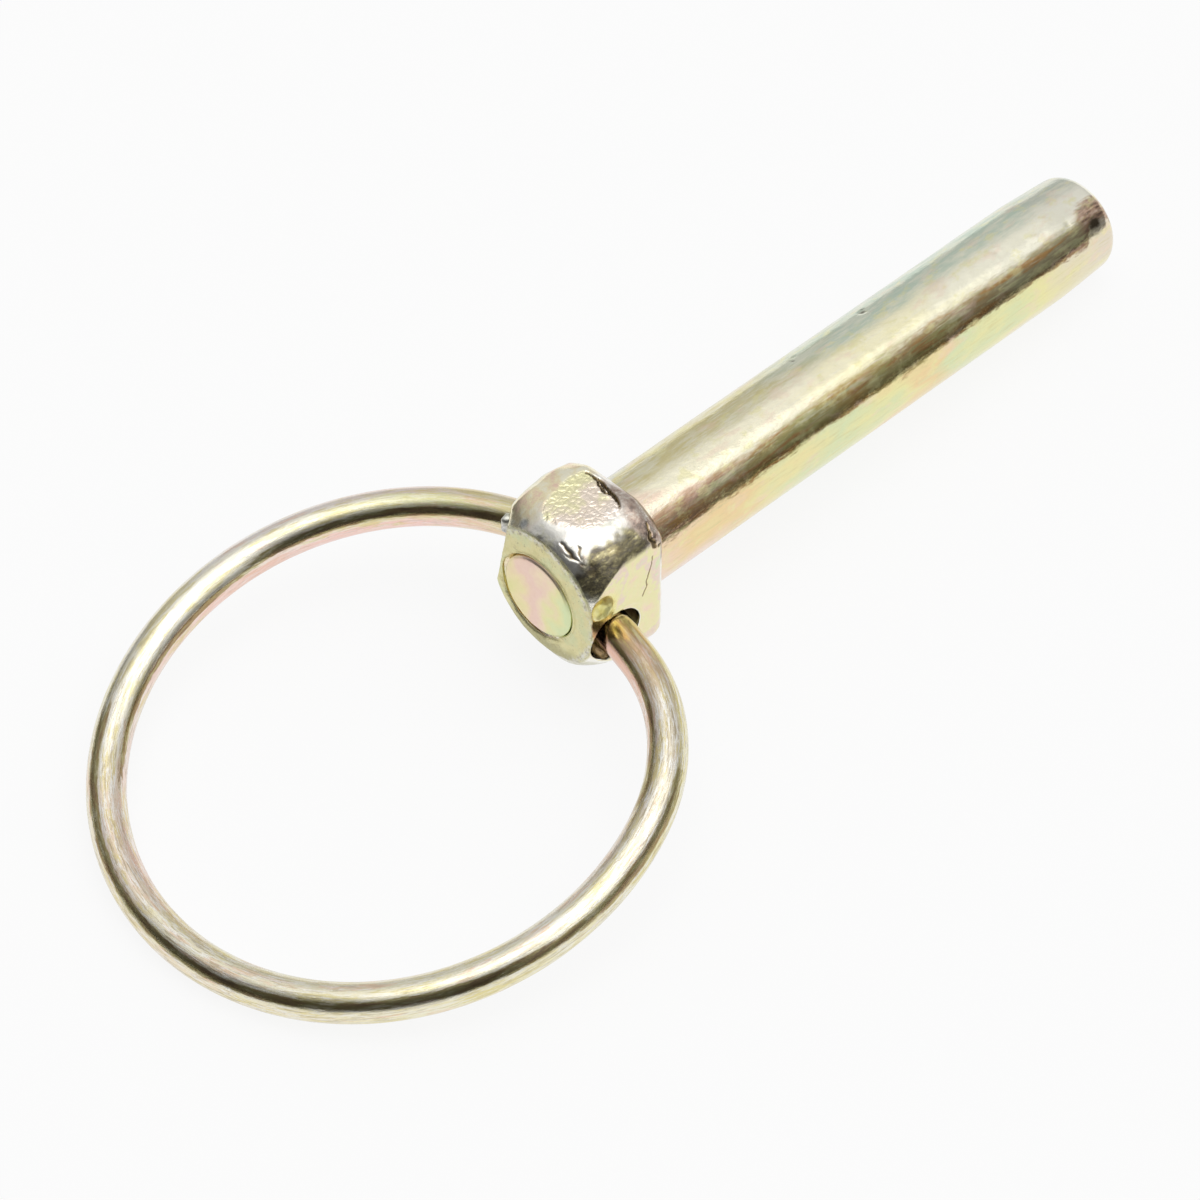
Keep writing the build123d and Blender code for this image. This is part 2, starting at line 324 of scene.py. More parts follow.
def ring():
    """The spring wire, with its end faces and a faintly uneven skin; its scratches come from its material."""
    line2 = ring_line()
    along, outward, up = ring_frame()
    mid = to_pin(HINGE_POS[None] / 1000)[0]
    centre = mid + line2[:, :1] * outward + line2[:, 1:] * along
    tangent = np.gradient(centre, axis=0)
    tangent /= np.linalg.norm(tangent, axis=1)[:, None]
    side = np.cross(tangent, up)
    length = np.r_[0, np.cumsum(np.linalg.norm(np.diff(centre, axis=0), axis=1))]
    around = WIRE_AROUND
    ang = np.arange(around) * 2 * math.pi / around
    ca, sa = np.tile(np.cos(ang), len(centre)), np.tile(np.sin(ang), len(centre))
    s = np.repeat(length, around)
    normal = ca[:, None] * np.repeat(side, around, 0) + sa[:, None] * up
    p0 = np.repeat(centre, around, 0)
    q = np.stack([s * 0.35, ca * WIRE_R, sa * WIRE_R], 1)
    skin = 0.006 * noise(q, 1.6, 21) + 0.003 * noise(q * (1.5, 1, 1), 0.7, 23) - 0.009
    p = p0 + normal * (WIRE_R + skin)[:, None]
    obj = new_piece("ring_wire", to_row(p), grid_faces(len(centre), around), "ring", "ring")
    point_vectors(obj.data, "wire", np.stack([s, ca * WIRE_R, sa * WIRE_R], 1))
    w = np.cos(np.tile(ang, len(centre)) - np.radians(np.interp(s, *ZONE_TURN)))
    # Painted dark reflection: stripes along the wire at the listed places round it
    dark_reflection_stripe = np.zeros(len(p))
    for line, half in DARK_REFLECTION_STRIPES:
        at, place = np.array(line).T
        mid = np.interp(s, at, place)
        ends = smooth(at[0] - 3, at[0] + 2, s) * smooth(at[-1] + 3, at[-1] - 2, s)
        dark_reflection_stripe = np.maximum(dark_reflection_stripe, ends * smooth(half * 1.5, half * 0.6, np.abs(w - mid)))
    # The film attribute holds the painted dark reflection stripes and each point's place round the wire
    point_vectors(obj.data, "film", np.stack([dark_reflection_stripe, w, 0 * w], 1))
    return obj


# Marks on the head, in pin terms: the patch's outline, the paths of cracks, gouges and tears, and the dent
PATCH = [(-1.5, 2.5), (-2.9, 2.75), (-4.6, 2.5), (-5.95, 2.12), (-7.2, 1.75), (-7.9, 1.0), (-7.85, -0.05),
         (-7.5, -1.15), (-6.8, -2.2), (-5.85, -3.0), (-4.8, -3.35), (-3.6, -3.4), (-2.5, -3.2), (-2.1, -2.2),
         (-1.72, -0.7), (-1.45, 0.6)]
CRACK = [(-1.5, 2.1, 8), (-1.44, 1.3, 8), (-1.4, 0.58, 8), (-1.53, 0.0, 8), (-1.75, -0.68, 8),
         (-1.88, -1.35, 8), (-2.1, -2.16, 8), (-2.45, -3.0, 7.9)]
BRANCH = [(-1.6, 0.75, 8), (-1.86, 0.3, 8), (-1.93, -0.16, 8), (-2.2, -0.76, 8), (-2.05, -1.35, 8)]
GOUGE_A = [(-8.45, -1.9, 7.15), (-8.54, -2.6, 6.87), (-8.54, -3.32, 6.55), (-8.42, -3.95, 6.3)]
GOUGE_B = [(-7.64, -3.0, 7.24), (-7.81, -3.53, 6.9), (-8.16, -4.05, 6.42)]
SCRAPE = [(-8.9, -2.3, 6.75), (-8.75, -3.2, 6.45), (-8.3, -4.3, 6.1), (-7.9, -4.7, 6.0)]
HAIRLINE = [(-2.1, -6.5, 4.4), (-2.33, -6.5, 3.36), (-2.68, -6.5, 2.4), (-2.79, -6.5, 1.27),
            (-3.26, -6.5, 0.39)]
TEAR = [(-1.35, -5.0, 6.85), (-1.54, -5.39, 6.55), (-1.86, -6.03, 5.98), (-1.78, -6.41, 5.28),
        (-1.2, -6.35, 5.0), (-0.8, -6.2, 4.9)]
DIMPLE = (-7.75, -6.5, 1.9)


def blob(points, faces, centre, radii, seed):
    """Adds a small lumpy ellipsoid, in pin terms, to lists of points and faces."""
    start = len(points)
    rings, around = 12, 20
    for i in range(rings + 1):
        for j in range(around):
            a, b = math.pi * (i + 0.001) / (rings + 0.002), 2 * math.pi * j / around
            n = np.array([math.sin(a) * math.cos(b), math.sin(a) * math.sin(b), math.cos(a)])
            lump = 1 + 0.25 * float(noise(n[None] * 1.3, 0.8, seed)[0])
            points.append(np.array(centre) + n * np.array(radii) * lump)
    for i in range(rings):
        for j in range(around):
            k = (j + 1) % around
            faces.append([start + i * around + j, start + (i + 1) * around + j,
                          start + (i + 1) * around + k, start + i * around + k])
    faces.append([start + j for j in range(around)])
    faces.append([start + rings * around + j for j in range(around)][::-1])


# The lip's rows: x, outer z and inner z
LIP = [(-9.15, -0.75, -1.15), (-8.85, -0.25, -0.62), (-8.4, 0.2, -0.16), (-8.0, 0.42, 0.10),
       (-7.5, 0.58, 0.34), (-6.8, 0.68, 0.46), (-6.24, 0.66, 0.46), (-5.6, 0.60, 0.26), (-5.05, 0.46, 0.04),
       (-4.6, 0.28, -0.24), (-4.2, 0.02, -0.62), (-3.85, -0.35, -1.10), (-3.62, -0.9, -1.75),
       (-3.55, -1.5, -2.2)]


def hole_lip(points, faces):
    """Thin metal drawn down over the top of the near hole, added to lists of points and faces."""
    start = len(points)
    for x, high, low in LIP:
        for y, z in ((-6.55, high + 0.35), (-6.55, low), (-6.25, low + 0.03), (-6.1, high + 0.35)):
            points.append(np.array([x + (0.35 if x > -4.0 and z > low + 0.2 else 0.0), y, z]))
    last = start + 4 * (len(LIP) - 1)
    for row in range(start, last, 4):
        for k in range(4):
            j = (k + 1) % 4
            faces.append([row + k, row + j, row + 4 + j, row + 4 + k])
    faces.append([start + 3, start + 2, start + 1, start])
    faces.append([last, last + 1, last + 2, last + 3])


def remeshed_head():
    """The head's solid with the burr and the lip welded on, as one fine even mesh."""
    source = frame["nodes"]["head"]
    count = len(source.data.vertices)
    raw = np.empty(count * 3)
    source.data.vertices.foreach_get("co", raw)
    points = list(to_pin(raw.reshape(-1, 3)))
    faces = [list(poly.vertices) for poly in source.data.polygons]
    blob(points, faces, (-8.35, 4.85, 4.5), (0.55, 0.42, 0.9), 31)
    hole_lip(points, faces)
    rough = bpy.data.meshes.new("head_rough")
    rough.from_pydata([tuple(q) for q in to_row(points)], [], faces)
    temp = bpy.data.objects.new("head_rough", rough)
    bpy.context.scene.collection.objects.link(temp)
    weld = temp.modifiers.new("weld", "WELD")
    weld.merge_threshold = 1e-6
    remesh = temp.modifiers.new("remesh", "REMESH")
    remesh.mode = "VOXEL"
    remesh.voxel_size = HEAD_VOXEL
    remesh.use_smooth_shade = True
    soften = temp.modifiers.new("soften", "SMOOTH")
    soften.factor = 0.5
    soften.iterations = 6
    bpy.context.view_layer.update()
    done = bpy.data.meshes.new_from_object(temp.evaluated_get(bpy.context.evaluated_depsgraph_get()))
    bpy.data.objects.remove(temp)
    return done


def head():
    """The forged head, marked as the photo shows it."""
    done = remeshed_head()
    count = len(done.vertices)
    co, no = np.empty(count * 3), np.empty(count * 3)
    done.vertices.foreach_get("co", co)
    done.vertices.foreach_get("normal", no)
    p, n = to_pin(co.reshape(-1, 3)), no.reshape(-1, 3) @ PIN_AXES.T
    x, y, z = p.T
    radius = np.hypot(y, z)

    move = 0.03 * noise(p, 2.6, 40) + 0.012 * fractal(p, 0.9, 41) - 0.03
    patch = smooth(-0.15, 0.25, inside(p, PATCH) + 0.15 * noise(p, 0.6, 44)) * smooth(6.9, 7.3, z)
    wide = p * (0.8, 0.8, 0.6) + 0.12 * np.stack([noise(p, 0.5, 45), noise(p, 0.5, 46), noise(p, 0.5, 47)], 1)
    net = cells(wide @ np.array([[0.7, -0.7, 0], [0.7, 0.7, 0], [0, 0, 1]]) * (0.62, 1, 1), 0.34, 48)
    peel = np.clip(net * 2.2, 0, 1) - 0.5
    move += patch * (0.045 * peel + 0.02 * noise(p, 0.9, 49) - 0.05)
    jag = p + 0.10 * np.stack([noise(p, 0.35, 50), noise(p, 0.35, 51), 0 * x], 1)
    top = smooth(7.0, 7.4, z)
    dark = np.zeros(count)
    for path, half, depth in ((CRACK, 0.24, 0.34), (BRANCH, 0.16, 0.24)):
        d, t = line_distance(jag * (1, 1, 0), np.array(path) * (1, 1, 0))
        width = half * (0.25 + 0.75 * np.sin(np.pi * np.clip(t * 0.9 + 0.1, 0, 1)))
        cut = smooth(1.0, 0.45, d / width) * top
        move -= depth * cut
        dark = np.maximum(dark, cut)
    for path, half, depth in ((GOUGE_A, 0.24, 0.11), (GOUGE_B, 0.16, 0.07), (SCRAPE, 0.10, 0.04)):
        d, t = line_distance(p + 0.16 * np.stack([noise(p, 0.45, 55), noise(p, 0.45, 56), 0 * x], 1), path)
        width = half * (0.35 + 0.65 * np.sin(np.pi * t))
        cut = np.exp(-(d / width) ** 2 * 1.6)
        move -= depth * cut
        dark = np.maximum(dark, 0.5 * cut)
    d, t = line_distance(p + 0.12 * np.stack([noise(p, 0.6, 57), 0 * x, noise(p, 0.6, 58)], 1), HAIRLINE)
    cut = smooth(0.11, 0.03, d)
    move -= 0.06 * cut
    dark = np.maximum(dark, 0.6 * cut)
    d, t = line_distance(p + 0.15 * np.stack([noise(p, 0.5, 90), noise(p, 0.5, 91), noise(p, 0.5, 92)], 1),
                         TEAR)
    cut = smooth(0.22, 0.06, d / (0.4 + np.sin(np.pi * t)))
    move -= 0.12 * cut
    dark = np.maximum(dark, 0.85 * cut)
    # Forging marks on the rounded corner above the near flat, and round its front edge
    corner = np.exp(-((y + 5.2) ** 2 + (z - 5.6) ** 2) / 1.2) * smooth(-9.3, -8.6, x)
    move += corner * 0.035 * fractal(p * (0.6, 1, 1), 0.7, 60)
    lip = np.exp(-((radius - 6.6) / 0.35) ** 2) * smooth(-9.0, -9.35, x)
    move += lip * 0.035 * fractal(p, 0.8, 63)
    # The far shoulder is a soft dome, not one flat, and the front edge bulges a little on both sides
    dome = (np.exp(-(((y - 4.9) / 1.8) ** 2 + ((z - 6.5) / 1.8) ** 2))
            * smooth(-9.3, -6.0, x) * smooth(-0.8, -4.0, x))
    move += 0.60 * dome
    move += 0.07 * np.exp(-((x + 8.0) / 0.8) ** 2) * smooth(-2.4, 1.6, y) * smooth(2.5, 4.5, z)
    move += (0.16 * np.exp(-((x + 8.2) / 0.9) ** 2)
             * smooth(-5.4, -4.0, y) * smooth(-1.0, -2.4, y) * smooth(3.5, 5.0, z))
    # Crimped face: shallow hammered skin, and a gap that opens low on the far side of the disc
    face = smooth(-9.0, -9.3, x) * (n[:, 0] < -0.5)
    move += face * (0.018 * fractal(p, 0.7, 66) - 0.01)
    turn = (y * 0.75 - z * 0.66) / np.maximum(radius, 1)
    gap = np.exp(-((radius - 4.3) / 0.30) ** 2) * smooth(0.30, 0.85, turn) * (x < -8.6)
    move -= 0.42 * gap * (n[:, 0] < -0.2)
    fill = (np.exp(-((radius - 4.2) / 0.3) ** 2)
            * smooth(0.35, -0.2, turn) * (x < -8.6) * smooth(-9.38, -9.1, x))
    p[:, 0] -= 0.30 * fill
    burr = np.exp(-((radius - 4.75) / 0.28) ** 2) * face * (0.5 + 0.5 * noise(p, 0.7, 68))
    move += 0.06 * burr
    # The hole's upper rim stands up, and the punch mark beside it is shallower than in the solid
    hole_d = np.hypot((x + 5.6) / 2.9, (z + 2.0) / 2.7)
    move += 0.10 * np.exp(-((hole_d - 1.02) / 0.07) ** 2) * (y < -6.0) * smooth(-1.4, -0.2, z)
    cup = np.linalg.norm((p - np.array(DIMPLE)) / (1.35, 1.6, 1.5), axis=1)
    move += (np.exp(-(cup / 0.75) ** 4) * (0.16 + 0.05 * fractal(p, 0.6, 70))
             - 0.10 * np.exp(-(cup / 1.25) ** 2) * (n[:, 1] < -0.5))
    p = p + n * move[:, None]
    done.vertices.foreach_set("co", to_row(p).ravel())
    obj = attach(done, "head_forging", "pin", "head")
    point_vectors(done, "pin", p)
    cupped = np.exp(-(cup / 1.05) ** 4)
    point_vectors(done, "marks", np.stack([patch, dark, cupped], 1))
    jog = 0.5 * noise(p, 1.4, 80) + 0.3 * noise(p, 0.5, 81)
    corner = (smooth(-3.8, -4.8, y + jog) * smooth(3.4, 4.2, z + 0.5 * jog)
              * smooth(-9.45, -9.2, x) * smooth(-1.6, -3.2, x + jog))
    rear = smooth(-3.4, -2.0, x + jog) * smooth(0.6, -1.4, y + jog) * smooth(2.6, 3.6, z + jog)
    flat = smooth(-0.86, -0.97, n[:, 1]) * smooth(-5.8, -6.3, y)
    point_vectors(done, "zones", np.stack([corner, rear, flat], 1))
    rim = np.exp(-((radius - 6.45 + 0.15 * jog) / 0.34) ** 2) * smooth(-9.0, -9.3, x)
    cool = (np.exp(-(((p - (-8.5, 5.0, 4.4)) / (0.9, 0.8, 1.1)) ** 2).sum(1))
            + np.exp(-(((p - (-8.86, 2.2, 6.8)) / 0.45) ** 2).sum(1)))
    # Painted shade: a darker band along the underside, kept with the rim's wear and the grey spots
    under = smooth(-3.6, -5.0, z + jog) * smooth(-6.3, -5.6, y)
    point_vectors(done, "wear_and_shade", np.stack([rim, np.clip(cool * 1.4, 0, 1), under], 1))
    return obj


class Nodes:
    """Builds the nodes of one material or world. Masks run from 0 to 1."""

    def __init__(self, owner):
        self.mat = bpy.data.materials.new(owner) if isinstance(owner, str) else owner
        self.mat.use_nodes = True
        self.tree = self.mat.node_tree
        self.shader = self.tree.nodes.get("Principled BSDF")

    def add(self, kind, inputs=None, **props):
        node = self.tree.nodes.new(kind)
        for key, value in props.items():
            setattr(node, key, value)
        for key, value in (inputs or {}).items():
            if isinstance(value, bpy.types.NodeSocket):
                self.tree.links.new(value, node.inputs[key])
            else:
                node.inputs[key].default_value = value
        return node

    def attr(self, name):
        return self.add("ShaderNodeAttribute", attribute_name=name).outputs["Vector"]

    def noise(self, vector, scale, detail=3.0, rough=0.5):
        return self.add("ShaderNodeTexNoise", {"Vector": vector, "Scale": scale, "Detail": detail,
                                               "Roughness": rough}).outputs["Fac"]

    def stretch(self, vector, scale, shift=(0, 0, 0)):
        return self.add("ShaderNodeMapping", {"Vector": vector, "Scale": scale,
                                              "Location": shift}).outputs["Vector"]

    def math(self, op, a, b=0.0):
        return self.add("ShaderNodeMath", {0: a, 1: b}, operation=op).outputs[0]

    def times(self, a, b):
        return self.math("MULTIPLY", a, b)

    def plus(self, a, b):
        return self.math("ADD", a, b)

    def swing(self, value, size):
        """Noise moved to lie about 0, times a size."""
        return self.times(self.math("SUBTRACT", value, 0.5), size)

    def fit(self, value, low, high):
        """Smooth step from 0 at low to 1 at high."""
        return self.add("ShaderNodeMapRange", {"Value": value, "From Min": low, "From Max": high},
                        interpolation_type="SMOOTHSTEP").outputs[0]

    def split(self, vector):
        return self.add("ShaderNodeSeparateXYZ", {0: vector}).outputs

    def ramp(self, fac, stops):
        node = self.add("ShaderNodeValToRGB", {"Fac": fac})
        while len(node.color_ramp.elements) < len(stops):
            node.color_ramp.elements.new(0.5)
        for element, (pos, color) in zip(node.color_ramp.elements, stops):
            element.position = pos
            element.color = (*color, 1)
        return node.outputs["Color"]

    def mix(self, fac, a, b, blend="MIX"):
        node = self.add("ShaderNodeMix", data_type="RGBA", blend_type=blend)
        for key, value in ((0, fac), (6, a), (7, b)):
            if isinstance(value, bpy.types.NodeSocket):
                self.tree.links.new(value, node.inputs[key])
            else:
                node.inputs[key].default_value = (*value, 1) if isinstance(value, tuple) else value
        return node.outputs[2]

    def set(self, key, value):
        if isinstance(value, bpy.types.NodeSocket):
            self.tree.links.new(value, self.shader.inputs[key])
        else:
            self.shader.inputs[key].default_value = value

    def bump(self, height, strength, distance, normal=None):
        inputs = {"Height": height, "Strength": strength, "Distance": distance}
        if normal is not None:
            inputs["Normal"] = normal
        return self.add("ShaderNodeBump", inputs).outputs["Normal"]


# Colours of the yellow zinc film, its stains and its worn places
WHITE, YELLOW, PINK = (0.95, 0.93, 0.86), (0.86, 0.81, 0.42), (0.90, 0.70, 0.56)
ORANGE, GREEN, TEAL = (0.88, 0.68, 0.38), (0.72, 0.78, 0.48), (0.58, 0.68, 0.56)
GOLD, OLIVE, BROWN = (0.70, 0.62, 0.32), (0.50, 0.47, 0.20), (0.52, 0.36, 0.17)
ASH, SOOT = (0.62, 0.62, 0.54), (0.09, 0.07, 0.045)


def mottle(m, pos, scale, detail=4.0, rough=0.6, low=0.35, high=0.65):
    """Noise stretched to a 0..1 mask with soft edges."""
    return m.fit(m.noise(m.stretch(pos, scale), 1.0, detail, rough), low, high)


def shank_material():
    """Zones of the film along the bar, frayed where they meet, with a painted highlight band and a painted
    dark reflection band across it, and the spigot's pastel end.
    """
    m = Nodes("shank_plating_look")
    pos = m.attr("pin")
    x, y, z = m.split(pos)
    drift = m.noise(m.stretch(pos, (0.22, 0.9, 0.9)), 1.0, 4.0, 0.62)
    fray = m.noise(m.stretch(pos, (0.7, 3.0, 3.0)), 1.0, 5.0, 0.7)
    # across runs round the bar from its upper far edge to its lower near edge: film tints at both edges, a
    # painted highlight band and a painted dark reflection band between them
    across = m.plus(m.times(y, -0.1643), m.times(z, -0.1141))
    across = m.plus(across, m.swing(drift, 0.34))
    across = m.plus(across, m.swing(fray, 0.22))
    shift = m.swing(m.noise(m.stretch(pos, (0.12, 0.4, 0.4), (7, 3, 1)), 1.0, 3.0), 0.5)
    tip = m.times(m.fit(x, 55.2, 56.6), m.fit(x, 59.6, 58.6))
    # Near the tip the painted dark reflection band reaches further up the bar
    across = m.plus(across, m.times(m.times(tip, m.fit(across, -0.5, -0.1)), 0.24))
    along = m.plus(m.math("DIVIDE", x, 60.0), shift)
    upper = m.ramp(along, [(0.0, ASH), (0.06, GOLD), (0.2, GOLD), (0.36, (0.66, 0.64, 0.42)), (0.5, TEAL),
                           (0.85, TEAL), (1.0, ASH)])
    # Painted highlight: a near-white band of the bar's colour below its upper edge
    light = m.ramp(along, [(0.0, PINK), (0.08, (0.94, 0.89, 0.68)), (0.35, (0.96, 0.91, 0.70)),
                           (0.5, (0.96, 0.90, 0.60)), (0.7, (0.95, 0.92, 0.74)), (1.0, (0.92, 0.90, 0.78))])
    # Painted dark reflection: a brown and olive band, darker still towards its lower side
    dark_reflection_band = m.ramp(along, [(0.0, (0.56, 0.36, 0.26)), (0.16, BROWN), (0.3, OLIVE), (0.42, (0.58, 0.40, 0.15)),
                          (0.56, OLIVE), (0.62, (0.44, 0.32, 0.16)), (0.75, (0.46, 0.43, 0.26)),
                          (0.88, (0.42, 0.34, 0.20)), (0.93, (0.36, 0.24, 0.17)), (0.98, (0.70, 0.56, 0.46))])
    seam = m.noise(m.stretch(pos, (0.16, 1.6, 1.6), (5, 1, 4)), 1.0, 4.0, 0.65)
    dark_reflection_band = m.mix(m.fit(seam, 0.50, 0.62), dark_reflection_band, (0.50, 0.30, 0.12))
    dark_reflection_band = m.mix(m.fit(seam, 0.46, 0.36), dark_reflection_band, (0.62, 0.60, 0.34))
    dark_reflection_band = m.mix(m.fit(across, 0.30, 0.44), dark_reflection_band, m.mix(1.0, dark_reflection_band, (0.62, 0.55, 0.48), "MULTIPLY"))
    lower = m.ramp(along, [(0.0, PINK), (0.14, ORANGE), (0.24, (0.86, 0.78, 0.42)), (0.38, GREEN),
                           (0.5, YELLOW), (0.58, ORANGE), (0.66, GREEN), (0.8, YELLOW),
                           (1.0, (0.80, 0.72, 0.58))])
    smoke = mottle(m, pos, (0.35, 1.4, 1.4), 5.0, 0.7, 0.42, 0.62)
    upper = m.mix(m.times(smoke, 0.6), upper, (0.86, 0.84, 0.68))
    colour = m.mix(m.fit(across, -0.72, -0.44), upper, light)
    colour = m.mix(m.times(m.fit(across, -0.08, 0.10), m.fit(x, 59.5, 58.9)), colour, dark_reflection_band)
    colour = m.mix(m.fit(across, 0.44, 0.52), colour, lower)
    # Painted dark reflection: the band turns near black by the tip
    in_dark_reflection_band = m.times(m.fit(across, -0.02, 0.12), m.fit(across, 0.48, 0.40))
    colour = m.mix(m.times(tip, in_dark_reflection_band), colour,
                   m.ramp(fray, [(0.38, (0.14, 0.09, 0.07)), (0.5, (0.42, 0.27, 0.19)),
                                 (0.62, (0.60, 0.46, 0.36))]))
    # Streaks: pale on the painted highlight side, gold towards the painted dark reflection band
    streak = mottle(m, pos, (0.35, 4.0, 4.0), 5.0, 0.7, 0.50, 0.72)
    colour = m.mix(m.times(streak, 0.55), colour, m.mix(m.fit(across, 0.0, 0.4), (0.93, 0.90, 0.76), GOLD))
    blotch = mottle(m, pos, (0.5, 0.8, 0.8), 4.0, 0.6, 0.52, 0.66)
    colour = m.mix(m.times(blotch, 0.5), colour, YELLOW)
    veil = mottle(m, pos, (0.3, 0.7, 0.7), 4.0, 0.6, 0.54, 0.70)
    colour = m.mix(m.times(veil, 0.40), colour, PINK)
    speck = mottle(m, pos, (1.6, 3.2, 3.2), 6.0, 0.8, 0.64, 0.72)
    colour = m.mix(m.times(speck, 0.7), colour, WHITE)
    marks = m.split(m.attr("marks"))
    colour = m.mix(marks[0], colour, SOOT)
    # The spigot's end in the head's face: pink in the middle, yellow and green towards its sides
    cloud = m.noise(m.stretch(pos, (0.3, 0.3, 0.3), (2, 5, 3)), 1.0, 3.0, 0.5)
    turn = m.plus(m.times(y, 0.10), m.swing(cloud, 0.8))
    disc = m.ramp(m.plus(turn, 0.5), [(0.14, (0.72, 0.80, 0.48)), (0.30, (0.84, 0.80, 0.44)),
                                      (0.40, (0.90, 0.74, 0.54)), (0.50, (0.88, 0.66, 0.56)),
                                      (0.66, (0.88, 0.66, 0.54)), (0.80, (0.88, 0.76, 0.46)),
                                      (0.92, (0.80, 0.76, 0.38))])
    end = m.math("LESS_THAN", x, -5.0)
    colour = m.mix(end, colour, disc)
    m.set("Base Color", colour)
    m.set("Metallic", 1.0)
    fine = m.noise(pos, 3.2, 5.0, 0.7)
    rough = m.plus(m.times(m.fit(fine, 0.35, 0.75), 0.16), 0.09)
    m.set("Roughness", m.plus(rough, m.times(end, 0.20)))
    wave = m.noise(m.stretch(pos, (0.3, 0.8, 0.8)), 1.0, 2.0, 0.5)
    grain = m.noise(m.stretch(pos, (1.5, 3.0, 3.0)), 1.0, 5.0, 0.65)
    near_head = m.fit(x, 26.0, 2.0)
    depth = m.times(m.plus(m.times(near_head, 0.5), 0.22), m.math("SUBTRACT", 1.0, m.times(end, 0.8)))
    first = m.bump(wave, 0.5, 0.00008)
    m.set("Normal", m.bump(grain, depth, 0.00004, first))
    return m.mat


